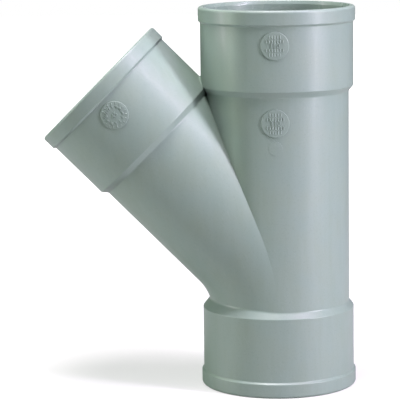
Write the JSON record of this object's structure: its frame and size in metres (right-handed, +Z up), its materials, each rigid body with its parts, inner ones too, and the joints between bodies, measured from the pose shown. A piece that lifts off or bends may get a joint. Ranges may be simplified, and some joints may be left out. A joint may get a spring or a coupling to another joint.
{
  "type": "lateral wye fitting",
  "caption": "Grey plastic wye for waste pipe: a straight run with a branch at forty-five degrees and a plain socket with a rim band on each end.",
  "frame": {"origin": "on the axis of the run, in the plane of the lower pipe stop, where the end of the lower pipe comes to rest", "axes": "+Z runs up the straight run to its upper mouth, the branch leans 45 degrees from +Z towards -X, and the raised pads face -Y"},
  "size_m": [0.2405, 0.1204, 0.2945],
  "materials": {
    "wye_body": "moulded rigid PVC, satin"
  },
  "bodies": {
    "root": {"wye_body": "wye_body"}
  },
  "joints": []
}
